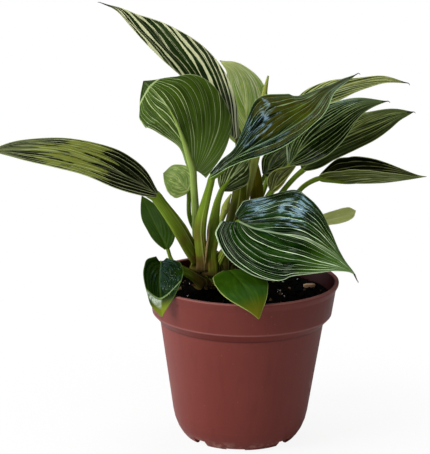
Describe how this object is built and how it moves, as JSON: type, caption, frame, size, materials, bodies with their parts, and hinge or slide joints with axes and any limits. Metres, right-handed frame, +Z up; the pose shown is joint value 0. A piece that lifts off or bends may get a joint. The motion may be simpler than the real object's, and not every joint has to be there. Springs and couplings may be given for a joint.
{
  "type": "potted philodendron",
  "caption": "Young bushy philodendron with pinstriped pointed leaves, growing in soil in a round tapered nursery pot.",
  "frame": {"origin": "centre of the flat underside that the pot stands on", "axes": "+Z up along the pot's axis, -Y towards the front of the plant, +X to the right"},
  "size_m": [0.2321, 0.1166, 0.2331],
  "materials": {
    "pot_plastic": "satin moulded terracotta-brown plastic with light scuffs",
    "potting_soil": "dark moist potting mix with crumbs",
    "bark": "dry split bark",
    "dry_sheath": "dry papery sheath",
    "plain_leaf": "glossy green leaf with faint veins",
    "striped_leaf": "glossy dark green leaf with cream pinstripes",
    "new_leaf": "young yellow-green rolled leaf",
    "green_stalk": "smooth fleshy green stalk with fine lines"
  },
  "bodies": {
    "root": {"pot": "pot_plastic", "soil": "potting_soil", "stem_front": "green_stalk", "stem_back": "green_stalk", "bark_chip": "bark", "leaf_front": "striped_leaf", "leaf_big": "striped_leaf", "leaf_centre": "striped_leaf", "leaf_tall": "striped_leaf", "leaf_back": "striped_leaf", "leaf_upper_right": "striped_leaf", "leaf_right_dark": "striped_leaf", "leaf_right_striped": "striped_leaf", "leaf_right_low": "striped_leaf", "leaf_small_right": "striped_leaf", "leaf_left_long": "striped_leaf", "leaf_oval": "plain_leaf", "leaf_low_left": "plain_leaf", "leaf_low_front": "plain_leaf", "leaf_mottled": "striped_leaf", "leaf_under": "striped_leaf", "leaf_folded": "striped_leaf", "leaf_behind": "striped_leaf", "stalk_low_left": "green_stalk", "stalk_low_front": "green_stalk", "stalk_oval": "green_stalk", "stalk_left_long": "green_stalk", "stalk_centre": "green_stalk", "stalk_big": "green_stalk", "stalk_front": "green_stalk", "stalk_under": "green_stalk", "stalk_folded": "green_stalk", "stalk_small_right": "green_stalk", "stalk_mottled": "green_stalk", "stalk_tall": "green_stalk", "stalk_right_dark": "green_stalk", "stalk_back": "green_stalk", "stalk_right_low": "green_stalk", "stalk_right_striped": "green_stalk", "stalk_upper_right": "green_stalk", "stalk_behind": "green_stalk", "new_leaf_back": "new_leaf", "new_leaf_front": "new_leaf", "dry_sheath": "dry_sheath"}
  },
  "joints": []
}
